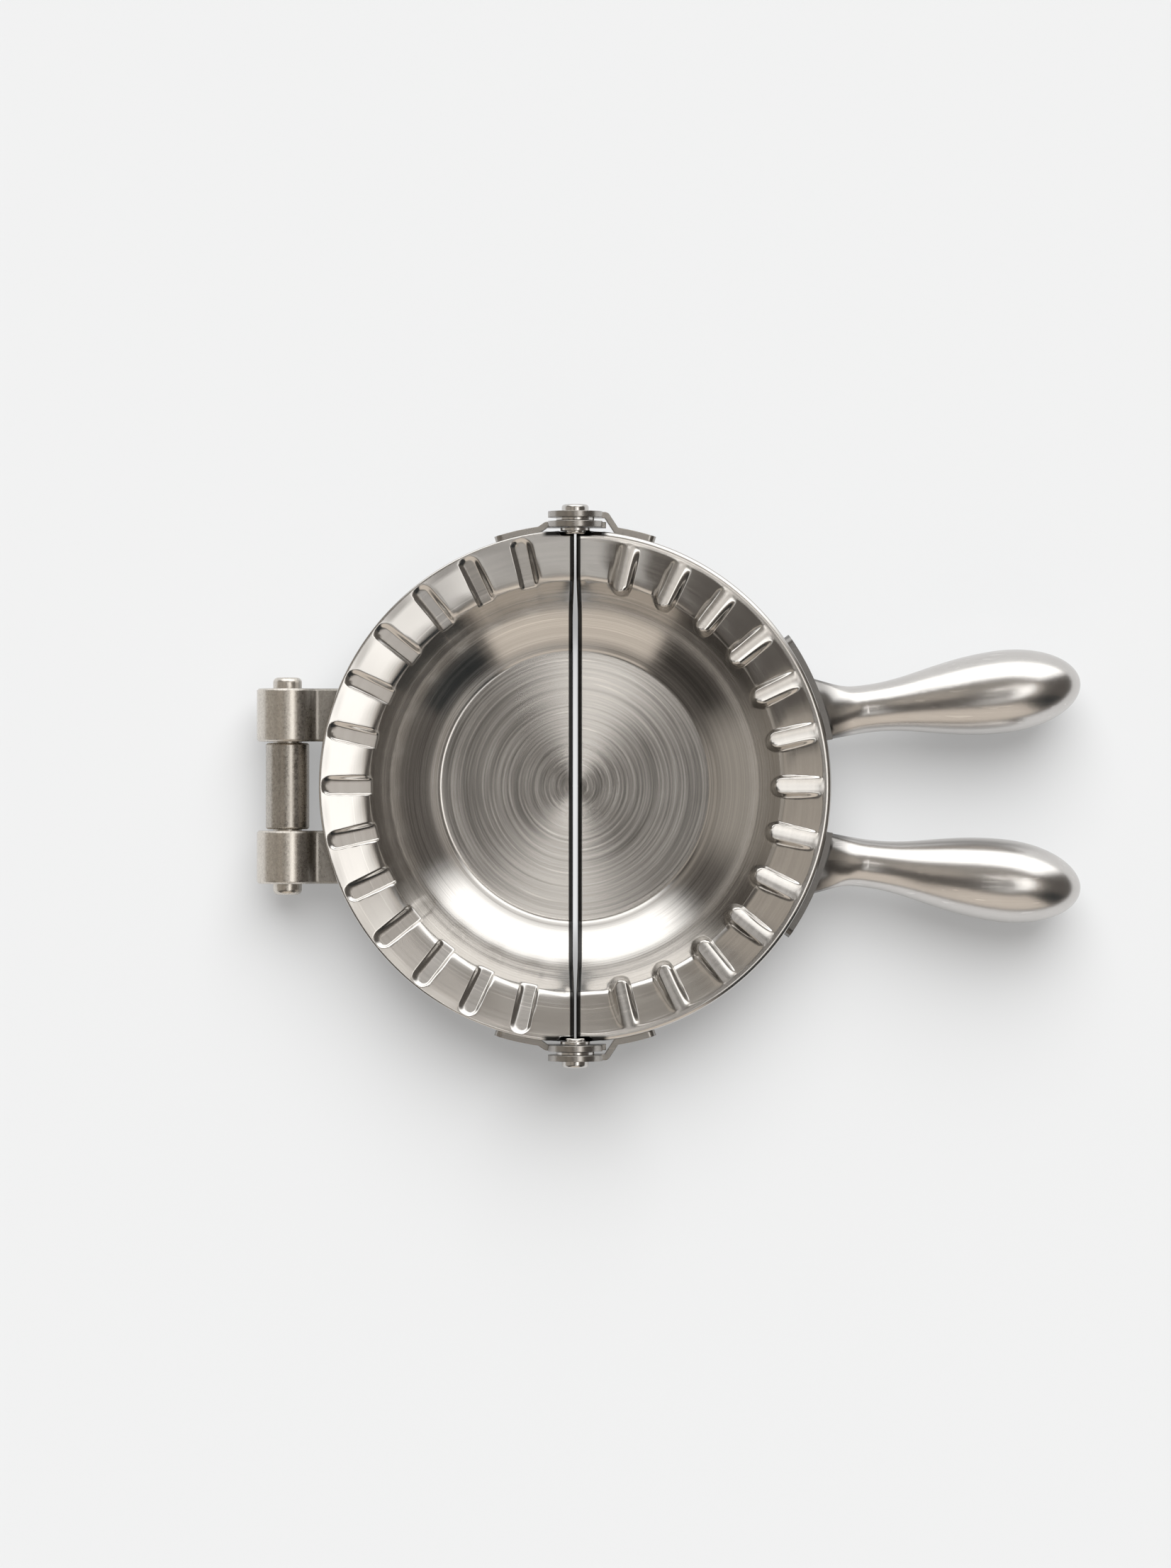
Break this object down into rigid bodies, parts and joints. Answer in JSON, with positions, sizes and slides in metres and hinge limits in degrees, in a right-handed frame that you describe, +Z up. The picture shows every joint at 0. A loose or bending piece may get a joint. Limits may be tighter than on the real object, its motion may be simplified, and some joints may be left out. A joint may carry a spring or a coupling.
{
  "type": "dumpling press",
  "caption": "Stainless dumpling press lying open: half bowls with a fluted crimping rim hinged along the seam, a pull bar with a roller on one side and teardrop grips on the other.",
  "frame": {"origin": "middle of the open dish, on the seam between the halves, at the height of the table that the flat bottom rests on", "axes": "+X across the seam towards the grips, +Y along the seam and the fold axis, +Z up"},
  "size_m": [0.1774, 0.1208, 0.0234],
  "materials": {
    "bowl_steel": "turned and brushed in rings about the middle of the dish",
    "strap_steel": "rolled sheet, lightly brushed",
    "rivet_steel": "smooth, softly polished",
    "bar_steel": "fine brushed",
    "roller_steel": "fine brushed along its length",
    "handle_steel": "satin polished"
  },
  "bodies": {
    "right_half": {"right_bowl": "bowl_steel", "upper_right_hinge_strap": "strap_steel", "lower_right_hinge_strap": "strap_steel", "upper_pivot_rivet": "rivet_steel", "lower_pivot_rivet": "rivet_steel", "upper_pivot_spacer": "rivet_steel", "lower_pivot_spacer": "rivet_steel", "upper_pivot_rove": "rivet_steel", "lower_pivot_rove": "rivet_steel", "upper_handle_grip": "handle_steel", "lower_handle_grip": "handle_steel", "upper_handle_saddle": "handle_steel", "lower_handle_saddle": "handle_steel"},
    "left_half": {"left_bowl": "bowl_steel", "upper_left_hinge_strap": "strap_steel", "lower_left_hinge_strap": "strap_steel", "upper_bar_lug": "bar_steel", "lower_bar_lug": "bar_steel", "bar_pin": "bar_steel"},
    "roller": {"bar_roller": "roller_steel"}
  },
  "joints": [
    {"name": "fold", "type": "hinge", "parent": "right_half", "child": "left_half", "pos_m": [0, 0, 0.0176], "axis": [0, 1, 0], "range_deg": [0, 180]},
    {"name": "roller_spin", "type": "hinge", "parent": "left_half", "child": "roller", "pos_m": [-0.062, 0, 0.0105], "axis": [0, 1, 0], "continuous": true}
  ]
}
